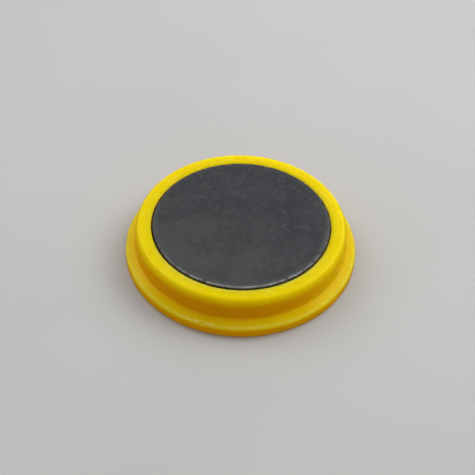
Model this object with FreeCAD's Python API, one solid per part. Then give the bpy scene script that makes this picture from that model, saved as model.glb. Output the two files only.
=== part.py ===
"""Round office magnet: a ferrite disc glued into a moulded plastic cap, lying on its cap.

The cap is one moulding, shaped like a low top hat. Its face, the side a hand sees in use, is the
40 mm disc at the bottom. Behind it a narrower drum carries the magnet pocket, and the step between
the two is where fingertips pull. The pocket's floor has ribs that the ferrite disc stands on, so
the cap stays thin-walled, and dabs of glue between the ribs bond the disc to the floor. The disc is
smaller than its pocket, and its free face stands just proud of the drum's ring, so the ferrite is
what touches a steel board.

Millimetres, +Z up, from the cap's face to the magnet's face. The origin is the centre of the face.
Every outline is a half section in the XZ plane, turned once about Z.
"""

import FreeCAD, Part
import math
import os

# Driving dimensions
CAP_RADIUS = 20.0           # the face's disc
FLANGE_RIM_HEIGHT = 1.85    # back of the face's disc at its rim, before the edge is rounded
FLANGE_ROOT_HEIGHT = 3.0    # the same, where it meets the drum: the fingertips rest on this slope
RING_TOP = 7.0              # flat ring round the magnet
DRUM_RADIUS = 18.25         # drum just under its shoulder
MAGNET_RADIUS = 15.35
MAGNET_THICKNESS = 5.0
MAGNET_PROUD = 0.2          # magnet's free face above the ring

# Cap details
FACE_EDGE_ROUND = 0.5       # outer edge of the face
FLANGE_EDGE_ROUND = 0.3     # outer edge at the back of the face's disc
FACE_RIM_WIDTH = 1.7        # flat rim that the cap stands on, inside the rounded edge
FACE_DISH_DEPTH = 0.3       # shallow hollow of the face, at its centre
DRUM_DRAFT = 0.05           # how much wider the drum is at its foot
DRUM_FOOT_FILLET = 0.2
SHOULDER_SIDE_ROUND = 2.2   # the drum's wall leans in slowly under the ring,
SHOULDER_TURN = 30          # by this many degrees,
SHOULDER_TOP_ROUND = 0.7    # and then turns over quickly
POCKET_RADIUS = 15.5
MOUTH_ROLL_ROUND = 1.5      # the ring rolls off slowly towards the pocket,
MOUTH_TURN = 26             # by this many degrees,
MOUTH_EDGE_ROUND = 0.12     # and ends in a crisp edge
POCKET_CORNER = 0.3         # fillet round the pocket's floor

# Pocket floor
FLOOR_THICKNESS = 1.3
RIB_COUNT = 6
RIB_WIDTH = 0.9
RIB_OUTER_END = 14.6
RIB_HUB_RADIUS = 2.4
RIB_RING_INNER = 11.4
RIB_RING_OUTER = 12.3
RIB_ROOT = 0.2              # how deep the ribs reach into the floor before they are fused

# Magnet and glue
MAGNET_EDGE_ROUND = 0.3     # edges of the disc, worn round by tumbling
GLUE_DABS = 3
GLUE_CIRCLE_RADIUS = 7.4
GLUE_END_RADIUS = 1.9       # where a dab wets the floor and the magnet
GLUE_BULGE = 0.35           # how far its side swells out half way up

MAGNET_TOP = RING_TOP + MAGNET_PROUD
MAGNET_BOTTOM = MAGNET_TOP - MAGNET_THICKNESS
AXIS_START = FreeCAD.Vector(0, 0, 0)
AXIS = FreeCAD.Vector(0, 0, 1)


def point(radius, height):
    """A point of a half section."""
    return FreeCAD.Vector(radius, 0, height)


def corner_arc(centre, radius, from_degrees, to_degrees):
    """A round corner of a half section. Angles are from +X towards +Z."""
    middle = (from_degrees + to_degrees) / 2
    start, through, end = (
        centre + FreeCAD.Vector(radius * math.cos(math.radians(a)), 0, radius * math.sin(math.radians(a)))
        for a in (from_degrees, middle, to_degrees)
    )
    return Part.Arc(start, through, end)


def double_arc(centre, radius, next_radius, from_degrees, turn_degrees, to_degrees):
    """Two tangent arcs of a half section. The second, of another radius, starts where the first stops."""
    turn = math.radians(turn_degrees)
    shift = FreeCAD.Vector(math.cos(turn), 0, math.sin(turn)) * (radius - next_radius)
    return [
        corner_arc(centre, radius, from_degrees, turn_degrees),
        corner_arc(centre + shift, next_radius, turn_degrees, to_degrees),
    ]


def turned(outline):
    """Revolves an outline about Z. It lists points and arcs in order, and straight edges join them."""
    edges = []
    ends = [
        (item, item) if isinstance(item, FreeCAD.Vector) else (item.StartPoint, item.EndPoint)
        for item in outline
    ]
    for i, item in enumerate(outline):
        if not isinstance(item, FreeCAD.Vector):
            edges.append(item.toShape())
        leave, arrive = ends[i][1], ends[(i + 1) % len(outline)][0]
        if leave.distanceToPoint(arrive) > 1e-6:
            edges.append(Part.LineSegment(leave, arrive).toShape())
    return Part.Face(Part.Wire(edges)).revolve(AXIS_START, AXIS, 360)


def cap_shell():
    """The cap without its ribs."""
    rim_inner = CAP_RADIUS - FACE_EDGE_ROUND - FACE_RIM_WIDTH
    dish_radius = (rim_inner**2 + FACE_DISH_DEPTH**2) / (2 * FACE_DISH_DEPTH)
    dish_middle = rim_inner / 2
    dish_drop = dish_radius - math.sqrt(dish_radius**2 - dish_middle**2)
    dish = Part.Arc(
        point(0, FACE_DISH_DEPTH),
        point(dish_middle, FACE_DISH_DEPTH - dish_drop),
        point(rim_inner, 0),
    )
    foot = DRUM_RADIUS + DRUM_DRAFT
    draft_degrees = math.degrees(math.atan2(DRUM_DRAFT, RING_TOP - FLANGE_ROOT_HEIGHT))
    slope = math.atan2(FLANGE_ROOT_HEIGHT - FLANGE_RIM_HEIGHT, CAP_RADIUS - foot)
    slope_degrees = math.degrees(slope)
    # A round of radius 1 between the slope and an upright wall has its centre this far above or below
    # the point where the slope would reach the wall
    centre_step = 1 / math.cos(slope) - math.tan(slope)
    flange_edge = corner_arc(
        point(CAP_RADIUS - FLANGE_EDGE_ROUND, FLANGE_RIM_HEIGHT - FLANGE_EDGE_ROUND * centre_step),
        FLANGE_EDGE_ROUND,
        0,
        90 - slope_degrees,
    )
    foot_fillet = corner_arc(
        point(foot + DRUM_FOOT_FILLET, FLANGE_ROOT_HEIGHT + DRUM_FOOT_FILLET * centre_step),
        DRUM_FOOT_FILLET,
        270 - slope_degrees,
        180 + draft_degrees,
    )
    side_centre_drop = (SHOULDER_SIDE_ROUND - SHOULDER_TOP_ROUND) * math.sin(math.radians(SHOULDER_TURN))
    shoulder = double_arc(
        point(DRUM_RADIUS - SHOULDER_SIDE_ROUND, RING_TOP - SHOULDER_TOP_ROUND - side_centre_drop),
        SHOULDER_SIDE_ROUND,
        SHOULDER_TOP_ROUND,
        draft_degrees,
        SHOULDER_TURN,
        90,
    )
    roll_width = (MOUTH_ROLL_ROUND - MOUTH_EDGE_ROUND) * math.sin(math.radians(MOUTH_TURN))
    mouth = double_arc(
        point(POCKET_RADIUS + MOUTH_EDGE_ROUND + roll_width, RING_TOP - MOUTH_ROLL_ROUND),
        MOUTH_ROLL_ROUND,
        MOUTH_EDGE_ROUND,
        90,
        90 + MOUTH_TURN,
        180,
    )
    face_edge = corner_arc(point(CAP_RADIUS - FACE_EDGE_ROUND, FACE_EDGE_ROUND), FACE_EDGE_ROUND, -90, 0)
    pocket_corner = corner_arc(
        point(POCKET_RADIUS - POCKET_CORNER, FLOOR_THICKNESS + POCKET_CORNER), POCKET_CORNER, 0, -90
    )
    return turned(
        [dish, face_edge, flange_edge, foot_fillet]
        + shoulder
        + mouth
        + [pocket_corner, point(0, FLOOR_THICKNESS)]
    )


def support_ribs():
    """Hub, ring and spokes under the magnet, all of one height."""
    base = FLOOR_THICKNESS - RIB_ROOT
    height = MAGNET_BOTTOM - base
    at_base = FreeCAD.Vector(0, 0, base)
    hub = Part.makeCylinder(RIB_HUB_RADIUS, height, at_base)
    ring = Part.makeCylinder(RIB_RING_OUTER, height, at_base).cut(
        Part.makeCylinder(RIB_RING_INNER, height, at_base)
    )
    spokes = []
    for i in range(RIB_COUNT):
        spoke = Part.makeBox(RIB_OUTER_END, RIB_WIDTH, height, FreeCAD.Vector(0, -RIB_WIDTH / 2, base))
        spoke.rotate(AXIS_START, AXIS, i * 360 / RIB_COUNT)
        spokes.append(spoke)
    return hub.multiFuse([ring] + spokes)


def cap():
    return cap_shell().fuse(support_ribs()).removeSplitter()


def magnet():
    """Ferrite disc with both edges rounded."""
    middle = MAGNET_RADIUS - MAGNET_EDGE_ROUND
    return turned(
        [
            point(0, MAGNET_BOTTOM),
            corner_arc(point(middle, MAGNET_BOTTOM + MAGNET_EDGE_ROUND), MAGNET_EDGE_ROUND, -90, 0),
            corner_arc(point(middle, MAGNET_TOP - MAGNET_EDGE_ROUND), MAGNET_EDGE_ROUND, 0, 90),
            point(0, MAGNET_TOP),
        ]
    )


def glue_dabs():
    """Squeezed drops, from the pocket's floor to the magnet, each half way between two spokes."""
    half_height = (MAGNET_BOTTOM - FLOOR_THICKNESS) / 2
    middle = FLOOR_THICKNESS + half_height
    side = Part.Arc(
        point(GLUE_END_RADIUS, FLOOR_THICKNESS),
        point(GLUE_END_RADIUS + GLUE_BULGE, middle),
        point(GLUE_END_RADIUS, MAGNET_BOTTOM),
    )
    drop = turned([point(0, FLOOR_THICKNESS), side, point(0, MAGNET_BOTTOM)])
    dabs = []
    for i in range(GLUE_DABS):
        dab = drop.copy()
        dab.translate(FreeCAD.Vector(GLUE_CIRCLE_RADIUS, 0, 0))
        dab.rotate(AXIS_START, AXIS, 180 / RIB_COUNT + i * 360 / GLUE_DABS)
        dabs.append(dab)
    return Part.makeCompound(dabs)


def main():
    os.makedirs("parts", exist_ok=True)
    for name, shape in {"cap": cap(), "magnet": magnet(), "glue_dabs": glue_dabs()}.items():
        shape.exportStep(f"parts/{name}.step")
        solids = ", ".join(f"{s.Volume:.1f}" for s in shape.Solids)
        print(f"{name}: valid {shape.isValid()}, solids of {solids} mm3, box {shape.optimalBoundingBox()}")


main()
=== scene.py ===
import math
import random

import bpy
import numpy as np
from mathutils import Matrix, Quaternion, Vector, noise


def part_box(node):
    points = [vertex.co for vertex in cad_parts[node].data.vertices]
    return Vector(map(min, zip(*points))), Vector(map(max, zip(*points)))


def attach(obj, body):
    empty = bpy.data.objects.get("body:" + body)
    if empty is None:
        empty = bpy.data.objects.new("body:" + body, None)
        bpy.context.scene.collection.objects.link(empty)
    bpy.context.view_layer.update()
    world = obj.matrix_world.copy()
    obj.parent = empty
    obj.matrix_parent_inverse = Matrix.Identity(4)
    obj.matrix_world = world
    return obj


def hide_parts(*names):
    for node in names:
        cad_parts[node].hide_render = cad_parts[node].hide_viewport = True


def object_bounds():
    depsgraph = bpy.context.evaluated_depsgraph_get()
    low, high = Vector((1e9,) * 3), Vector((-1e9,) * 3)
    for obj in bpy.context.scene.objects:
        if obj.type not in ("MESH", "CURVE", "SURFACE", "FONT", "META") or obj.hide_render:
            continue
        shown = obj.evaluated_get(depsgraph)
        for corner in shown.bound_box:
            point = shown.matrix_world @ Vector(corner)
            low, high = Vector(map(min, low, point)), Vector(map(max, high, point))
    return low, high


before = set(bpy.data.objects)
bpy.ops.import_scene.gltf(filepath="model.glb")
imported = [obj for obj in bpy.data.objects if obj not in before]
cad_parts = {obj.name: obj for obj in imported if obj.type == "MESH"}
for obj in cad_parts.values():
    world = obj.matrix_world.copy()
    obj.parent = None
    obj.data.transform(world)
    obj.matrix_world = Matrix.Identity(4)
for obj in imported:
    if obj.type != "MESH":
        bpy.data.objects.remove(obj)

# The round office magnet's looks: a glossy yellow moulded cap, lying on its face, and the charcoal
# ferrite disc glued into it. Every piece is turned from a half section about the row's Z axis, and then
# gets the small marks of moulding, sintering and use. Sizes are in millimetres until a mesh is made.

CAD_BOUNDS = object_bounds()
BODY = "root"
MM = 0.001

# Sizes read from the frame
CAP_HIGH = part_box("cap")[1] / MM
MAGNET_LOW, MAGNET_HIGH = (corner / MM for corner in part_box("magnet"))
GLUE_LOW, GLUE_HIGH = (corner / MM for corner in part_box("glue_dabs"))
CAP_RADIUS = CAP_HIGH.x
RING_TOP = CAP_HIGH.z
MAGNET_RADIUS = MAGNET_HIGH.x
MAGNET_TOP = MAGNET_HIGH.z
MAGNET_BOTTOM = MAGNET_LOW.z

# The cap's half section, as the CAD model has it
FLANGE_RIM_HEIGHT = 1.85
FLANGE_ROOT_HEIGHT = 3.0
DRUM_RADIUS = 18.25
DRUM_DRAFT = 0.05
FACE_EDGE_ROUND = 0.5
FLANGE_EDGE_ROUND = 0.3
FACE_RIM_WIDTH = 1.7
FACE_DISH_DEPTH = 0.3
DRUM_FOOT_FILLET = 0.2
SHOULDER_SIDE_ROUND = 2.2
SHOULDER_TURN = 30
SHOULDER_TOP_ROUND = 0.7
POCKET_RADIUS = 15.5
MOUTH_ROLL_ROUND = 1.5
MOUTH_TURN = 26
MOUTH_EDGE_ROUND = 0.12
POCKET_CORNER = 0.3
FLOOR_THICKNESS = 1.3
RIB_COUNT = 6
RIB_WIDTH = 0.9
RIB_OUTER_END = 14.6
RIB_HUB_RADIUS = 2.4
RIB_RING_INNER = 11.4
RIB_RING_OUTER = 12.3
RIB_ROOT = 0.2
RIB_INTO_HUB = 0.6
MAGNET_EDGE_ROUND = 0.3
GLUE_DABS = 3
GLUE_CIRCLE_RADIUS = 7.4
GLUE_END_RADIUS = 1.9
GLUE_BULGE = 0.35
MOUTH_EDGE = RING_TOP - MOUTH_ROLL_ROUND * (1 - math.cos(math.radians(MOUTH_TURN)))

# Marks of making and use, and the centre of the ferrite's painted sheen. Turns are degrees from +X, sizes
# and depths millimetres.
MAGNET_OFF_CENTRE = (0.05, 0.01, 0)
# Centre of the painted sheen on the ferrite
FERRITE_SHEEN_SIDE = (-7, -11, MAGNET_TOP)
SCUFF_DEGREES = -112
SCUFF_HALF_WIDTH = 11
ALL_ROUND = (0, 360)
MOUTH_NICKS = ((35, 0.7, -0.14), (98, 0.4, -0.08), (120, 0.35, -0.08), (322, 0.4, 0.1))
FERRITE_CHIPS = ((158.3, 0.5, 0.12), (20.9, 0.7, 0.2), (247.0, 0.6, 0.16), (301.0, 0.5, 0.15))
SMALL_CHIPS = 14

# Colours of the finishes, in linear light
YELLOW = (0.90, 0.61, 0.001, 1)
YELLOW_PALER = (0.92, 0.63, 0.001, 1)
YELLOW_MOTTLE = (0.84, 0.55, 0.001, 1)
# Painted shade: the deeper yellow of the shaded walls, rim, flange root and pocket wall
YELLOW_PAINTED_SHADE = (0.90, 0.43, 0.001, 1)
YELLOW_RUBBED = (0.90, 0.72, 0.14, 1)
YELLOW_SCRATCHED = (0.90, 0.74, 0.18, 1)
# Painted highlight along the flange's crest
YELLOW_EDGE_HIGHLIGHT = (0.93, 0.71, 0.10, 1)
# Painted highlight on the mouth's lip
YELLOW_LIP_HIGHLIGHT = (0.93, 0.60, 0.08, 1)
YELLOW_SCUFFED = (0.94, 0.82, 0.38, 1)
DUST = (0.33, 0.20, 0.01, 1)
# Painted shade in the slot round the disc
SLOT_SHADE = (0.20, 0.08, 0.01, 1)
FERRITE = (0.012, 0.014, 0.018, 1)
FERRITE_CLOUD = (0.021, 0.023, 0.027, 1)
# Painted sheen on the ferrite's -X, -Y side
FERRITE_SHEEN = (0.042, 0.045, 0.048, 1)
FERRITE_PALE_MOTTLE = (0.046, 0.050, 0.053, 1)
FERRITE_DARK_MOTTLE = (0.014, 0.015, 0.018, 1)
FERRITE_GRAIN = (0.016, 0.016, 0.018, 1)
FERRITE_SPECK = (0.14, 0.14, 0.125, 1)
FERRITE_PORE = (0.008, 0.008, 0.009, 1)
# Painted sheen on the ferrite's border
FERRITE_BORDER_SHEEN = (0.055, 0.060, 0.052, 1)
# Painted highlight on the ferrite's edge
FERRITE_EDGE_HIGHLIGHT = (0.31, 0.315, 0.31, 1)
GLUE_COLOUR = (0.62, 0.55, 0.40, 1)
GLUE_CLOUD = (0.70, 0.64, 0.50, 1)
FLOOR_COLOUR = (0.50, 0.495, 0.485, 1)
FLOOR_CLOUD = (0.52, 0.515, 0.505, 1)
SKY = (0.41, 0.415, 0.42, 1)
GROUND = (0.28, 0.165, 0.03, 1)

# Lights: place, width and depth in metres, and watts
LIGHTS = {
    "back_right": ((0.15, 0.15, 0.24), 0.20, 0.20, 0.25),
    "back_left": ((-0.30, 0.30, 0.48), 0.40, 0.40, 0.45),
    "low_back": ((0.0, 0.61, 0.18), 0.50, 0.16, 0.50),
    "side_right": ((0.45, 0.16, 0.42), 0.40, 0.40, 0.95),
    "high_right": ((0.42, 0.03, 0.48), 0.25, 0.25, 0.45),
    "high_front": ((0.06, -0.22, 0.59), 0.15, 0.15, 0.08),
    "side_left": ((-0.42, 0.24, 0.42), 0.40, 0.40, 0.90),
}


# ---------------------------------------------------------------- outlines and meshes


def arc(r, z, radius, start, end, steps):
    """A round corner of an outline, about (r, z). Angles are degrees from +r towards +z."""
    turn = [math.radians(start + (end - start) * k / steps) for k in range(steps + 1)]
    return [(r + radius * math.cos(a), z + radius * math.sin(a)) for a in turn]


def double_arc(r, z, radius, next_radius, start, turn, end):
    """Two tangent arcs. The second, of another radius, starts where the first stops."""
    shift = radius - next_radius
    a = math.radians(turn)
    first = arc(r, z, radius, start, turn, 8)
    return first + arc(r + shift * math.cos(a), z + shift * math.sin(a), next_radius, turn, end, 8)[1:]


def run(start, end, steps):
    """The points between two ends of a straight stretch, without the ends."""
    share = [k / steps for k in range(1, steps)]
    return [tuple(a + (b - a) * t for a, b in zip(start, end)) for t in share]


def lathe(name, outline, segments):
    """A closed mesh of an outline turned about Z. The outline's first and last point lie on the axis."""
    angles = np.arange(segments) * 2 * math.pi / segments
    rings = np.array(outline[1:-1])
    around = np.stack([np.cos(angles), np.sin(angles)], axis=1)
    sides = rings[:, None, 0, None] * around[None]
    heights = np.repeat(rings[:, 1], segments)
    points = np.column_stack([sides.reshape(-1, 2), heights])
    points = np.vstack([points, [0, 0, outline[0][1]], [0, 0, outline[-1][1]]])
    first_pole = len(points) - 2
    last_pole = len(points) - 1
    this = np.arange(segments)
    following = np.roll(this, -1)
    faces = [(first_pole, b, a) for a, b in zip(this.tolist(), following.tolist())]
    for k in range(len(rings) - 1):
        low = k * segments
        high = low + segments
        quads = np.column_stack([low + this, low + following, high + following, high + this])
        faces += quads.tolist()
    top = (len(rings) - 1) * segments
    faces += [(last_pole, top + a, top + b) for a, b in zip(this.tolist(), following.tolist())]
    mesh = bpy.data.meshes.new(name)
    mesh.from_pydata((points * MM).tolist(), [], faces)
    mesh.validate()
    return mesh


def read_points(mesh):
    """A mesh's points in millimetres, one row each."""
    flat = np.empty(len(mesh.vertices) * 3)
    mesh.vertices.foreach_get("co", flat)
    return flat.reshape(-1, 3) / MM


def write_points(mesh, points):
    mesh.vertices.foreach_set("co", (points * MM).ravel())
    mesh.update()


def noise_at(points, wavelength, seed):
    """Smooth noise from about -1 to 1 at each point."""
    offset = Vector((seed * 17.3, seed * 5.1, seed * 9.7))
    return np.array([noise.noise(Vector(p) / wavelength + offset) for p in points])


def bump_weight(points, centre, size):
    """1 at the centre, falling smoothly to 0 at the size's distance."""
    away = np.linalg.norm(points - np.array(centre), axis=1) / size
    return np.clip(1 - away**2, 0, None) ** 2


def bump_band(values, centre, half_width):
    """1 where a value is at the centre, falling smoothly to 0 at the half width."""
    return np.clip(1 - ((values - centre) / half_width) ** 2, 0, None) ** 2


def on_circle(radius, degrees, height):
    turn = math.radians(degrees)
    return np.array([radius * math.cos(turn), radius * math.sin(turn), height])


def dent_at_random(points, chance, count, circle, sizes, depths, direction):
    """Moves the points round random places on a circle, given as radius, height and range of turns."""
    radius, height, turns = circle
    for _ in range(count):
        place = on_circle(radius, chance.uniform(*turns), height)
        weight = bump_weight(points, place, chance.uniform(*sizes))
        points += (chance.uniform(*depths) * weight)[:, None] * direction


def piece(mesh, material, node, smooth_degrees):
    """Makes the object of a mesh, gives it its finish, attaches it to the body and hides its CAD node's
    part.
    """
    mesh.polygons.foreach_set("use_smooth", [True] * len(mesh.polygons))
    mesh.set_sharp_from_angle(angle=math.radians(smooth_degrees))
    mesh.materials.clear()
    mesh.materials.append(material)
    made = bpy.data.objects.new(mesh.name, mesh)
    bpy.context.scene.collection.objects.link(made)
    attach(made, BODY)
    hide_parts(node)


# ---------------------------------------------------------------- the cap


def cap_outline():
    """From the middle of the face, outwards, up and over the drum, to the middle of the pocket's floor."""
    rim = CAP_RADIUS - FACE_EDGE_ROUND - FACE_RIM_WIDTH
    foot = DRUM_RADIUS + DRUM_DRAFT
    draft = math.degrees(math.atan2(DRUM_DRAFT, RING_TOP - FLANGE_ROOT_HEIGHT))
    slope = math.atan2(FLANGE_ROOT_HEIGHT - FLANGE_RIM_HEIGHT, CAP_RADIUS - foot)
    centre_step = 1 / math.cos(slope) - math.tan(slope)
    dish = [(rim * k / 24, FACE_DISH_DEPTH * (1 - (k / 24) ** 2)) for k in range(25)]
    face_edge = arc(CAP_RADIUS - FACE_EDGE_ROUND, FACE_EDGE_ROUND, FACE_EDGE_ROUND, -90, 0, 8)
    flange_edge = arc(
        CAP_RADIUS - FLANGE_EDGE_ROUND,
        FLANGE_RIM_HEIGHT - FLANGE_EDGE_ROUND * centre_step,
        FLANGE_EDGE_ROUND,
        0,
        90 - math.degrees(slope),
        6,
    )
    foot_fillet = arc(
        foot + DRUM_FOOT_FILLET,
        FLANGE_ROOT_HEIGHT + DRUM_FOOT_FILLET * centre_step,
        DRUM_FOOT_FILLET,
        270 - math.degrees(slope),
        180 + draft,
        5,
    )
    side_centre_drop = (SHOULDER_SIDE_ROUND - SHOULDER_TOP_ROUND) * math.sin(math.radians(SHOULDER_TURN))
    shoulder = double_arc(
        DRUM_RADIUS - SHOULDER_SIDE_ROUND,
        RING_TOP - SHOULDER_TOP_ROUND - side_centre_drop,
        SHOULDER_SIDE_ROUND,
        SHOULDER_TOP_ROUND,
        draft,
        SHOULDER_TURN,
        90,
    )
    roll_width = (MOUTH_ROLL_ROUND - MOUTH_EDGE_ROUND) * math.sin(math.radians(MOUTH_TURN))
    mouth = double_arc(
        POCKET_RADIUS + MOUTH_EDGE_ROUND + roll_width,
        RING_TOP - MOUTH_ROLL_ROUND,
        MOUTH_ROLL_ROUND,
        MOUTH_EDGE_ROUND,
        90,
        90 + MOUTH_TURN,
        180,
    )
    corner = arc(POCKET_RADIUS - POCKET_CORNER, FLOOR_THICKNESS + POCKET_CORNER, POCKET_CORNER, 0, -90, 4)
    outline = list(dish)
    outline += run(dish[-1], face_edge[0], 4) + face_edge
    outline += run(face_edge[-1], flange_edge[0], 5) + flange_edge
    outline += run(flange_edge[-1], foot_fillet[0], 5) + foot_fillet
    outline += run(foot_fillet[-1], shoulder[0], 10) + shoulder
    outline += run(shoulder[-1], mouth[0], 6) + mouth
    outline += run(mouth[-1], corner[0], 6) + corner
    outline += [
        (RIB_RING_OUTER, FLOOR_THICKNESS),
        (RIB_RING_OUTER, MAGNET_BOTTOM),
        (RIB_RING_INNER, MAGNET_BOTTOM),
        (RIB_RING_INNER, FLOOR_THICKNESS),
        (RIB_HUB_RADIUS, FLOOR_THICKNESS),
        (RIB_HUB_RADIUS, MAGNET_BOTTOM),
        (0, MAGNET_BOTTOM),
    ]
    return outline


def mark_cap(mesh):
    """The cap's small faults: sink, waviness, nicks at the pocket's mouth and knocks on its edges."""
    points = read_points(mesh)
    radius = np.hypot(points[:, 0], points[:, 1])
    outward = points * [1, 1, 0] / np.maximum(radius, 1e-6)[:, None]
    height = points[:, 2]
    up = np.array([0, 0, 1.0])

    ring_middle = POCKET_RADIUS + 1.4
    ring_half = 0.8
    across = np.clip(1 - ((radius - ring_middle) / ring_half) ** 2, 0, None)
    ring_sink = 0.03 * across * (height > RING_TOP - 0.1)
    points -= ring_sink[:, None] * up

    outside = (radius > POCKET_RADIUS + 0.05) * (height > 0.1)
    wave = noise_at(points, 7.0, 1) * outside
    points += 0.02 * wave[:, None] * outward
    on_flange = outside * (radius > DRUM_RADIUS + 0.5) * (height > FLANGE_RIM_HEIGHT - 0.5)
    points += 0.015 * (noise_at(points, 5.0, 2) * on_flange)[:, None] * up

    chance = random.Random(11)
    mouth_radius = POCKET_RADIUS + 0.05
    rim_radius = CAP_RADIUS - 0.1
    mouth = (mouth_radius, MOUTH_EDGE, ALL_ROUND)
    dent_at_random(points, chance, 34, mouth, (0.25, 0.6), (-0.025, 0.03), outward)
    for degrees, size, depth in MOUTH_NICKS:
        weight = bump_weight(points, on_circle(mouth_radius, degrees, MOUTH_EDGE), size)
        points += (depth * weight)[:, None] * outward
    flange_edge = (rim_radius, FLANGE_RIM_HEIGHT, ALL_ROUND)
    dent_at_random(points, chance, 46, flange_edge, (0.3, 0.7), (0.02, 0.07), -(outward + up))
    scuffed = (SCUFF_DEGREES - SCUFF_HALF_WIDTH, SCUFF_DEGREES + SCUFF_HALF_WIDTH)
    scuffed_edge = (rim_radius, FLANGE_RIM_HEIGHT, scuffed)
    dent_at_random(points, chance, 9, scuffed_edge, (0.3, 0.55), (0.07, 0.13), -(outward + up))
    face_edge = (rim_radius, 0.1, ALL_ROUND)
    dent_at_random(points, chance, 40, face_edge, (0.3, 0.7), (0.01, 0.05), up - outward)
    write_points(mesh, points)


def spoke(index):
    """One straight rib of the pocket's floor, from the hub out past the ring, as a closed box."""
    turn = math.radians(index * 360 / RIB_COUNT)
    along = Vector((math.cos(turn), math.sin(turn), 0))
    aside = Vector((-along.y, along.x, 0)) * RIB_WIDTH / 2
    inner = along * (RIB_HUB_RADIUS - RIB_INTO_HUB)
    outer = along * RIB_OUTER_END
    plan = [inner - aside, outer - aside, outer + aside, inner + aside]
    low = FLOOR_THICKNESS - RIB_ROOT
    corners = [(p.x, p.y, z) for z in (low, MAGNET_BOTTOM) for p in plan]
    sides = [(k, (k + 1) % 4, (k + 1) % 4 + 4, k + 4) for k in range(4)]
    return corners, [(3, 2, 1, 0), (4, 5, 6, 7)] + sides


def with_spokes(mesh):
    """The cap's mesh with the spokes joined to the pocket's floor."""
    corners, faces = [], []
    for index in range(RIB_COUNT):
        more_corners, more_faces = spoke(index)
        faces += [tuple(len(corners) + v for v in face) for face in more_faces]
        corners += [Vector(c) * MM for c in more_corners]
    spokes = bpy.data.meshes.new("spokes")
    spokes.from_pydata(corners, [], faces)
    tool = bpy.data.objects.new("spokes", spokes)
    body = bpy.data.objects.new("cap_blank", mesh)
    for made in (tool, body):
        bpy.context.scene.collection.objects.link(made)
    join = body.modifiers.new("join", "BOOLEAN")
    join.operation = "UNION"
    join.solver = "EXACT"
    join.object = tool
    bpy.context.view_layer.update()
    evaluated = body.evaluated_get(bpy.context.evaluated_depsgraph_get())
    joined = bpy.data.meshes.new_from_object(evaluated)
    for made in (body, tool):
        bpy.data.objects.remove(made)
    joined.name = "cap_moulding"
    return joined


# ---------------------------------------------------------------- the ferrite disc


def magnet_outline():
    """From the middle of the glued side, round the edge, to the middle of the bare side."""
    middle = MAGNET_RADIUS - MAGNET_EDGE_ROUND
    low_edge = arc(middle, MAGNET_BOTTOM + MAGNET_EDGE_ROUND, MAGNET_EDGE_ROUND, -90, 0, 4)
    high_edge = arc(middle, MAGNET_TOP - MAGNET_EDGE_ROUND, MAGNET_EDGE_ROUND, 0, 90, 10)
    near_edge = (middle - 1.6, MAGNET_TOP)
    outline = [(0, MAGNET_BOTTOM), (middle / 2, MAGNET_BOTTOM)] + low_edge
    outline += run(low_edge[-1], high_edge[0], 20) + high_edge
    outline += run(high_edge[-1], near_edge, 14) + [near_edge]
    outline += run(near_edge, (0, MAGNET_TOP), 9) + [(0, MAGNET_TOP)]
    return outline


def mark_magnet(mesh):
    """Chips and crumbling along the disc's edges, which sintered ferrite always has. It sits off centre."""
    points = read_points(mesh)
    radius = np.hypot(points[:, 0], points[:, 1])
    outward = points * [1, 1, 0] / np.maximum(radius, 1e-6)[:, None]
    up = np.array([0, 0, 1.0])
    top_edge = bump_band(radius, MAGNET_RADIUS, 0.7) * bump_band(points[:, 2], MAGNET_TOP, 0.6)
    crumble = np.clip(noise_at(points, 0.45, 3) - 0.1, 0, None) * top_edge
    points -= 0.16 * crumble[:, None] * (outward + up)
    points -= 0.03 * (noise_at(points, 2.5, 4) * top_edge)[:, None] * outward
    chance = random.Random(5)
    chips = [
        (chance.uniform(*ALL_ROUND), chance.uniform(0.3, 0.5), chance.uniform(0.04, 0.1))
        for _ in range(SMALL_CHIPS)
    ]
    grain = noise_at(points, 0.25, 6)
    for degrees, size, depth in chips + list(FERRITE_CHIPS):
        weight = bump_weight(points, on_circle(MAGNET_RADIUS - 0.08, degrees, MAGNET_TOP - 0.08), size)
        weight = np.sqrt(weight) * (1 + 0.35 * grain)
        points -= (depth * weight)[:, None] * (outward + up)
    write_points(mesh, points + MAGNET_OFF_CENTRE)


# ---------------------------------------------------------------- the glue


def glue_mesh():
    """Squeezed drops between the pocket's floor and the disc, each a little uneven in plan."""
    middle = (GLUE_LOW.z + GLUE_HIGH.z) / 2
    half = (MAGNET_BOTTOM - FLOOR_THICKNESS) / 2
    steps = 12
    side = []
    for k in range(steps + 1):
        level = 2 * k / steps - 1
        side.append((GLUE_END_RADIUS + GLUE_BULGE * (1 - level**2), middle + half * level))
    outline = [(0, middle - half)] + side + [(0, middle + half)]
    drop = lathe("glue_drop", outline, 72)
    shape = read_points(drop)
    faces = [tuple(face.vertices) for face in drop.polygons]
    bpy.data.meshes.remove(drop)
    corners, all_faces = [], []
    for index in range(GLUE_DABS):
        turn = math.radians(180 / RIB_COUNT + index * 360 / GLUE_DABS)
        wobble = 1 + 0.1 * noise_at(shape * [1, 1, 0.3] + [0, 0, 9.0 * index], 2.2, 8)
        dab = shape * np.column_stack([wobble, wobble, np.ones(len(shape))])
        dab += [GLUE_CIRCLE_RADIUS * math.cos(turn), GLUE_CIRCLE_RADIUS * math.sin(turn), 0]
        all_faces += [tuple(v + len(corners) for v in face) for face in faces]
        corners += (dab * MM).tolist()
    mesh = bpy.data.meshes.new("glue_drops")
    mesh.from_pydata(corners, [], all_faces)
    return mesh


# ---------------------------------------------------------------- material nodes


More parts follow.
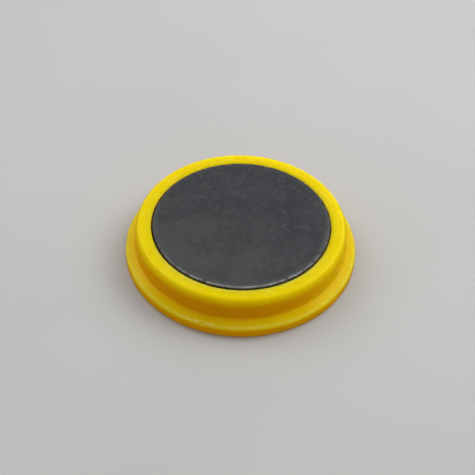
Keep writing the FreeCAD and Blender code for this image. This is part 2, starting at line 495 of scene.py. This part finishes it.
def node(tree, kind, inputs=None, **settings):
    """Adds a node. Inputs go by name or number, and each is a value, or a socket to link from."""
    made = tree.nodes.new(kind)
    for key, value in settings.items():
        setattr(made, key, value)
    for key, value in (inputs or {}).items():
        if isinstance(value, bpy.types.NodeSocket):
            tree.links.new(value, made.inputs[key])
        else:
            made.inputs[key].default_value = value
    return made


def math_node(tree, operation, a, b=0.0):
    return node(tree, "ShaderNodeMath", {0: a, 1: b}, operation=operation).outputs[0]


def combine(tree, operation, values):
    """Folds numbers and sockets into one, from the first to the last."""
    result = values[0]
    for value in values[1:]:
        result = math_node(tree, operation, result, value)
    return result


def times(tree, *values):
    return combine(tree, "MULTIPLY", values)


def greatest(tree, *values):
    return combine(tree, "MAXIMUM", values)


def total(tree, *values):
    return combine(tree, "ADD", values)


def inverse(tree, mask):
    return math_node(tree, "SUBTRACT", 1.0, mask)


def remap(tree, value, low, high, to_low=0.0, to_high=1.0):
    """A value's stretch from low to high, smoothly taken to another stretch and held beyond it."""
    inputs = {0: value, 1: low, 2: high, 3: to_low, 4: to_high}
    return node(tree, "ShaderNodeMapRange", inputs, interpolation_type="SMOOTHSTEP").outputs[0]


def mix_colours(tree, factor, a, b):
    return node(tree, "ShaderNodeMix", {0: factor, 6: a, 7: b}, data_type="RGBA").outputs[2]


def tint(tree, colour, mask, strength, to):
    """Takes a colour towards another where a mask is on, at most as far as the strength."""
    return mix_colours(tree, times(tree, mask, strength), colour, to)


def noise_node(tree, place, per_mm, detail=2.0, roughness=0.5):
    inputs = {"Vector": place, "Scale": per_mm, "Detail": detail, "Roughness": roughness}
    return node(tree, "ShaderNodeTexNoise", inputs).outputs[0]


def patches(tree, place, texture, limits, strengths=(0.0, 1.0)):
    """Random patches. Texture is what noise_node takes, and limits say where they start and are full."""
    return remap(tree, noise_node(tree, place, *texture), *limits, *strengths)


def millimetres(tree):
    """Place on the object in millimetres, its parts along X, Y and Z, and its distance from the axis."""
    place = node(tree, "ShaderNodeTexCoord").outputs["Object"]
    scaled = node(tree, "ShaderNodeVectorMath", {0: place, "Scale": 1 / MM}, operation="SCALE").outputs[0]
    x, y, z = node(tree, "ShaderNodeSeparateXYZ", {0: scaled}).outputs
    flat = node(tree, "ShaderNodeCombineXYZ", {0: x, 1: y}).outputs[0]
    radius = node(tree, "ShaderNodeVectorMath", {0: flat}, operation="LENGTH").outputs["Value"]
    return scaled, (x, y, z), radius


def distance_to(tree, place, point):
    there = node(tree, "ShaderNodeVectorMath", {0: place, 1: tuple(point)}, operation="DISTANCE")
    return there.outputs["Value"]


def near(tree, value, centre, half_width):
    """1 where a value is at the centre, falling smoothly to 0 at the half width."""
    away = math_node(tree, "ABSOLUTE", math_node(tree, "SUBTRACT", value, centre))
    return remap(tree, away, 0.0, half_width, 1.0, 0.0)


def drawn_out(tree, place, degrees, per_mm, length_ratio):
    """Places for a pattern that is fine across one direction and long along it."""
    settings = {
        "Vector": place,
        "Rotation": (0, 0, math.radians(degrees)),
        "Scale": (length_ratio / per_mm, 1 / per_mm, 10.0),
    }
    return node(tree, "ShaderNodeMapping", settings, vector_type="TEXTURE").outputs[0]


def scratches(tree, place, degrees, per_mm, length_ratio, width):
    """Fine broken straight lines running one way, as a mask from 0 to 1."""
    field = noise_node(tree, drawn_out(tree, place, degrees, per_mm, length_ratio), 1.0, 0.0)
    return times(tree, near(tree, field, 0.5, width), patches(tree, place, (0.35, 1.0), (0.5, 0.62)))


def bump_chain(tree, layers):
    """Stacks bump layers. Each is a height from 0 to 1 and how many micrometres that stands for."""
    normal = None
    for height, micrometres in layers:
        inputs = {"Strength": 1.0, "Distance": micrometres * 1e-6, "Height": height}
        if normal:
            inputs["Normal"] = normal
        normal = node(tree, "ShaderNodeBump", inputs).outputs[0]
    return normal


def voronoi(tree, place, per_mm):
    """Random cells: the distance to the nearest one's middle, and its random colour."""
    cells = node(tree, "ShaderNodeTexVoronoi", {"Vector": place, "Scale": per_mm}, feature="F1").outputs
    return cells["Distance"], cells["Color"]


def spots_in_some(tree, cells, size, channel, share):
    """A round spot in the middle of those cells whose colour is high enough in one channel."""
    away, random_colour = cells
    drawn = node(tree, "ShaderNodeSeparateColor", {0: random_colour}).outputs[channel]
    return times(tree, remap(tree, away, *size), remap(tree, drawn, *share))


def material(name):
    """An empty node material, with its tree and its shader."""
    made = bpy.data.materials.new(name)
    made.use_nodes = True
    shader = next(n for n in made.node_tree.nodes if n.type == "BSDF_PRINCIPLED")
    return made, made.node_tree, shader


def plastic():
    """Glossy yellow moulded plastic: painted shade on its upright walls and in its slot, painted highlights
    on its crest and lip, dust, worn edges and scratches.
    """
    made, tree, shader = material("yellow_moulded_plastic")
    place, (x, y, height), radius = millimetres(tree)
    colour = mix_colours(tree, patches(tree, place, (0.12, 3.0), (0.3, 0.7)), YELLOW, YELLOW_PALER)
    colour = tint(tree, colour, patches(tree, place, (2.6, 4.0, 0.6), (0.35, 0.75)), 0.1, YELLOW_MOTTLE)

    # Painted shade: a deeper yellow on the drum's wall, less so towards +X where more light falls, and on
    # the rim, the flange's root and the pocket's wall
    wall_shade = times(
        tree,
        remap(tree, height, FLANGE_RIM_HEIGHT + 0.6, FLANGE_ROOT_HEIGHT + 0.4),
        remap(tree, height, RING_TOP - 0.6, RING_TOP - 2.2),
        remap(tree, radius, POCKET_RADIUS + 1.0, DRUM_RADIUS - 0.3),
        remap(tree, x, 7.0, 17.0, 1.0, 0.3),
    )
    # Painted shade on the rim
    rim = times(
        tree,
        remap(tree, radius, CAP_RADIUS - 0.25, CAP_RADIUS - 0.02),
        remap(tree, height, FLANGE_RIM_HEIGHT, FLANGE_RIM_HEIGHT - 0.6),
    )
    # Painted shade at the flange's root
    root = times(
        tree,
        remap(tree, radius, CAP_RADIUS - 0.2, DRUM_RADIUS + 0.1, 0.0, 0.4),
        near(tree, height, FLANGE_ROOT_HEIGHT - 0.5, 0.9),
    )
    above_floor = remap(tree, height, FLOOR_THICKNESS - 0.3, FLOOR_THICKNESS - 0.1)
    pocket_shade = times(
        tree,
        remap(tree, radius, POCKET_RADIUS + 0.12, POCKET_RADIUS + 0.02),
        remap(tree, height, MOUTH_EDGE + 0.02, MOUTH_EDGE - 0.15),
        above_floor,
    )
    colour = tint(tree, colour, greatest(tree, wall_shade, rim, root, pocket_shade), 0.82, YELLOW_PAINTED_SHADE)

    # Dust at the drum's foot, and painted shade in the slot round the disc
    dust = times(
        tree,
        near(tree, radius, DRUM_RADIUS + 0.1, 0.35),
        near(tree, height, FLANGE_ROOT_HEIGHT, 0.35),
        patches(tree, place, (1.1, 3.0), (0.4, 0.7)),
    )
    colour = tint(tree, colour, dust, 0.15, DUST)
    slot_shade = times(
        tree,
        near(tree, radius, POCKET_RADIUS, 0.22),
        remap(tree, height, MOUTH_EDGE + 0.03, MOUTH_EDGE - 0.07),
        above_floor,
    )
    colour = tint(tree, colour, slot_shade, 0.8, SLOT_SHADE)

    # Patches where the outer edges are rubbed
    flange_edge = times(
        tree, near(tree, radius, CAP_RADIUS, 0.45), near(tree, height, FLANGE_RIM_HEIGHT, 0.4)
    )
    face_edge = times(tree, near(tree, radius, CAP_RADIUS, 0.7), near(tree, height, 0.0, 0.45))
    shoulder = times(
        tree, near(tree, radius, DRUM_RADIUS - 0.4, 0.5), near(tree, height, RING_TOP, 0.4), 0.4
    )
    edges = greatest(tree, flange_edge, face_edge, shoulder)
    rubbed = times(tree, edges, patches(tree, place, (1.6, 5.0, 0.7), (0.56, 0.66)))
    colour = tint(tree, colour, rubbed, 0.25, YELLOW_RUBBED)

    # Painted highlights: a paler flange crest all round, and a paler mouth's lip on the -Y side
    crest_highlight = times(
        tree,
        near(tree, radius, CAP_RADIUS - 0.32, 0.3),
        remap(tree, height, FLANGE_RIM_HEIGHT - 0.45, FLANGE_RIM_HEIGHT - 0.15),
        patches(tree, place, (0.4, 4.0, 0.6), (0.35, 0.6), (0.4, 1.0)),
    )
    colour = tint(tree, colour, crest_highlight, 0.7, YELLOW_EDGE_HIGHLIGHT)
    # Painted highlight on the mouth's lip, towards -Y
    lip_highlight = times(
        tree,
        near(tree, radius, POCKET_RADIUS + 0.45, 0.5),
        remap(tree, height, RING_TOP - 0.3, RING_TOP - 0.2),
        remap(tree, y, -4.0, -11.0),
    )
    colour = tint(tree, colour, lip_highlight, 0.45, YELLOW_LIP_HIGHLIGHT)

    # Scuffs along one stretch of the flange's edge
    middle = on_circle(CAP_RADIUS, SCUFF_DEGREES, FLANGE_RIM_HEIGHT)
    along_edge = drawn_out(tree, place, SCUFF_DEGREES + 90, 4.0, 7.0)
    scuffed = times(
        tree,
        remap(tree, distance_to(tree, place, middle), 4.0, 2.5),
        near(tree, radius, CAP_RADIUS - 0.4, 0.35),
        patches(tree, along_edge, (1.0, 3.0), (0.5, 0.62)),
    )
    colour = tint(tree, colour, scuffed, 0.6, YELLOW_SCUFFED)

    # Scratches, except on the upright walls
    lines = greatest(
        tree,
        scratches(tree, place, 28, 3.0, 40, 0.012),
        scratches(tree, place, -51, 2.2, 34, 0.010),
        scratches(tree, place, 97, 2.6, 46, 0.010),
    )
    lines = times(tree, lines, inverse(tree, greatest(tree, wall_shade, rim)))
    colour = tint(tree, colour, lines, 0.25, YELLOW_SCRATCHED)

    gloss = total(
        tree,
        0.20,
        patches(tree, place, (0.35, 4.0, 0.6), (0.35, 0.7), (0.0, 0.12)),
        times(tree, rubbed, 0.2),
        times(tree, lines, 0.15),
        times(tree, dust, 0.25),
    )
    normal = bump_chain(
        tree,
        [
            (noise_node(tree, place, 0.25, 2.0), 14.0),
            (noise_node(tree, place, 2.2, 3.0), 2.2),
            (inverse(tree, lines), 2.5),
            (inverse(tree, rubbed), 5.0),
        ],
    )
    tree.links.new(colour, shader.inputs["Base Color"])
    tree.links.new(gloss, shader.inputs["Roughness"])
    tree.links.new(normal, shader.inputs["Normal"])
    shader.inputs["IOR"].default_value = 1.5
    shader.inputs["Specular IOR Level"].default_value = 0.24
    shader.inputs["Specular Tint"].default_value = (1.0, 0.88, 0.1, 1)
    shader.inputs["Subsurface Weight"].default_value = 1.0
    shader.inputs["Subsurface Radius"].default_value = (1.0, 0.85, 0.05)
    shader.inputs["Subsurface Scale"].default_value = 4.5 * MM
    return made


def ferrite():
    """Ground charcoal ferrite: clouded and speckled, with pores, and painted sheen on one side, its border
    and its edge.
    """
    made, tree, shader = material("charcoal_ferrite")
    place, (_, y, height), radius = millimetres(tree)
    clouds = noise_node(tree, place, 0.16, 5.0, 0.55)
    mottle = noise_node(tree, place, 1.0, 5.0, 0.65)
    grain = noise_node(tree, place, 7.0, 3.0, 0.6)
    colour = mix_colours(tree, remap(tree, clouds, 0.35, 0.68), FERRITE, FERRITE_CLOUD)
    # Painted sheen: paler towards the -X, -Y side, where light falls
    painted_sheen = times(
        tree,
        remap(
            tree,
            distance_to(tree, place, FERRITE_SHEEN_SIDE),
            MAGNET_RADIUS * 1.4,
            MAGNET_RADIUS * 0.3,
        ),
        remap(tree, clouds, 0.35, 0.6, 0.45, 1.0),
    )
    colour = tint(tree, colour, painted_sheen, 0.8, FERRITE_SHEEN)
    colour = tint(tree, colour, remap(tree, mottle, 0.48, 0.66), 0.5, FERRITE_PALE_MOTTLE)
    colour = tint(tree, colour, remap(tree, mottle, 0.45, 0.30), 0.3, FERRITE_DARK_MOTTLE)
    colour = tint(tree, colour, remap(tree, grain, 0.5, 0.8), 0.5, FERRITE_GRAIN)

    # Pale specks and dark pores, each in a few of its cells
    speck = spots_in_some(tree, voronoi(tree, place, 0.9), (0.16, 0.06), 0, (0.78, 0.82))
    colour = tint(tree, colour, speck, 0.25, FERRITE_SPECK)
    pore = spots_in_some(tree, voronoi(tree, place, 1.7), (0.15, 0.05), 1, (0.72, 0.76))
    colour = tint(tree, colour, pore, 0.7, FERRITE_PORE)

    # Painted highlights: a paler border and a paler edge, both mostly on the -Y side
    border_sheen = times(
        tree,
        remap(tree, radius, MAGNET_RADIUS - 1.3, MAGNET_RADIUS - 0.35),
        patches(tree, place, (0.9, 4.0, 0.6), (0.35, 0.6), (0.25, 0.9)),
        remap(tree, y, 8.0, -4.0, 0.3, 1.0),
    )
    colour = tint(tree, colour, border_sheen, 1.0, FERRITE_BORDER_SHEEN)
    # Painted highlight along the disc's top edge, mostly towards -Y
    edge_highlight = times(
        tree,
        near(tree, radius, MAGNET_RADIUS - 0.18, 0.3),
        remap(tree, height, MAGNET_TOP - 0.25, MAGNET_TOP - 0.1),
        remap(tree, y, -5.0, -14.0, 0.05, 1.0),
        patches(tree, place, (0.9, 6.0, 0.75), (0.38, 0.62), (0.4, 1.0)),
    )
    colour = tint(tree, colour, edge_highlight, 1.0, FERRITE_EDGE_HIGHLIGHT)

    grinding = greatest(
        tree,
        scratches(tree, place, 12, 4.0, 60, 0.02),
        scratches(tree, place, 15, 5.5, 70, 0.02),
    )
    gloss = total(tree, remap(tree, mottle, 0.3, 0.75, 0.40, 0.56), times(tree, grinding, 0.05))
    normal = bump_chain(
        tree,
        [
            (mottle, 5.0),
            (grain, 2.5),
            (inverse(tree, pore), 18.0),
            (inverse(tree, grinding), 1.0),
        ],
    )
    tree.links.new(colour, shader.inputs["Base Color"])
    tree.links.new(gloss, shader.inputs["Roughness"])
    tree.links.new(normal, shader.inputs["Normal"])
    shader.inputs["IOR"].default_value = 1.55
    shader.inputs["Specular IOR Level"].default_value = 0.3
    return made


def glue():
    """Cured ivory glue, glossy and slightly see-through, with small bubbles."""
    made, tree, shader = material("ivory_glue")
    place, _, _ = millimetres(tree)
    cloud = noise_node(tree, place, 0.8, 3.0)
    colour = mix_colours(tree, remap(tree, cloud, 0.35, 0.65), GLUE_COLOUR, GLUE_CLOUD)
    away, _ = voronoi(tree, place, 3.0)
    bubble = remap(tree, away, 0.2, 0.08)
    tree.links.new(colour, shader.inputs["Base Color"])
    tree.links.new(remap(tree, cloud, 0.3, 0.7, 0.22, 0.38), shader.inputs["Roughness"])
    normal = bump_chain(tree, [(cloud, 12.0), (inverse(tree, bubble), 8.0)])
    tree.links.new(normal, shader.inputs["Normal"])
    shader.inputs["Subsurface Weight"].default_value = 0.3
    shader.inputs["Subsurface Radius"].default_value = (1.0, 0.8, 0.5)
    shader.inputs["Subsurface Scale"].default_value = 0.8 * MM
    return made


# ---------------------------------------------------------------- camera, light and floor


def place_camera():
    """A long lens from 45 degrees above, in front, with the part a little below the middle of its view."""
    elevation = math.radians(45.38)
    distance = 0.3
    target = Vector((-0.575, 0, 3.69)) * MM
    roll = Quaternion((0, 0, 1), math.radians(1.49))
    data = bpy.data.cameras.new("camera")
    data.sensor_width = 36.0
    data.lens = 129.85
    made = bpy.data.objects.new("camera", data)
    bpy.context.scene.collection.objects.link(made)
    made.location = Vector((0, -math.cos(elevation), math.sin(elevation))) * distance
    made.rotation_mode = "QUATERNION"
    made.rotation_quaternion = (made.location - target).to_track_quat("Z", "Y") @ roll
    bpy.context.scene.camera = made


def area_light(name, place, width, depth, watts):
    """A white panel facing the part."""
    data = bpy.data.lights.new(name, "AREA")
    data.shape = "RECTANGLE"
    data.size = width
    data.size_y = depth
    data.energy = watts
    made = bpy.data.objects.new(name, data)
    bpy.context.scene.collection.objects.link(made)
    made.location = place
    made.rotation_mode = "QUATERNION"
    made.rotation_quaternion = Vector(place).to_track_quat("Z", "Y")


def light_scene():
    """Soft lights behind, beside and above the part, an even sky, and warm dim light from below."""
    world = bpy.data.worlds.new("studio")
    bpy.context.scene.world = world
    world.use_nodes = True
    tree = world.node_tree
    background = next(n for n in tree.nodes if n.type == "BACKGROUND")
    direction = node(tree, "ShaderNodeTexCoord").outputs["Generated"]
    upward = node(tree, "ShaderNodeSeparateXYZ", {0: direction}).outputs[2]
    surround = mix_colours(tree, remap(tree, upward, -0.05, 0.05), GROUND, SKY)
    tree.links.new(surround, background.inputs["Color"])
    for name, settings in LIGHTS.items():
        area_light(name, *settings)
    bpy.context.scene.view_settings.view_transform = "Standard"


def floor():
    """A plain pale sheet under the part. It takes shadows, but neither lights the part nor mirrors in it."""
    made, tree, shader = material("pale_floor")
    place, _, _ = millimetres(tree)
    cloud = patches(tree, place, (0.02, 3.0), (0.3, 0.7))
    tree.links.new(mix_colours(tree, cloud, FLOOR_COLOUR, FLOOR_CLOUD), shader.inputs["Base Color"])
    shader.inputs["Roughness"].default_value = 0.8
    half = 2.0
    level = CAD_BOUNDS[0][2]
    mesh = bpy.data.meshes.new("floor")
    corners = [(-half, -half, level), (half, -half, level), (half, half, level), (-half, half, level)]
    mesh.from_pydata(corners, [], [(0, 1, 2, 3)])
    mesh.materials.append(made)
    sheet = bpy.data.objects.new("floor", mesh)
    bpy.context.scene.collection.objects.link(sheet)
    sheet.visible_diffuse = False
    sheet.visible_glossy = False


# ---------------------------------------------------------------- the part


def build_cap():
    blank = lathe("cap_blank", cap_outline(), 576)
    mark_cap(blank)
    piece(with_spokes(blank), plastic(), "cap", 40)


def build_magnet():
    mesh = lathe("ferrite_disc", magnet_outline(), 720)
    mark_magnet(mesh)
    piece(mesh, ferrite(), "magnet", 30)


def build_glue():
    piece(glue_mesh(), glue(), "glue_dabs", 40)


place_camera()
light_scene()
floor()
build_cap()
build_magnet()
build_glue()
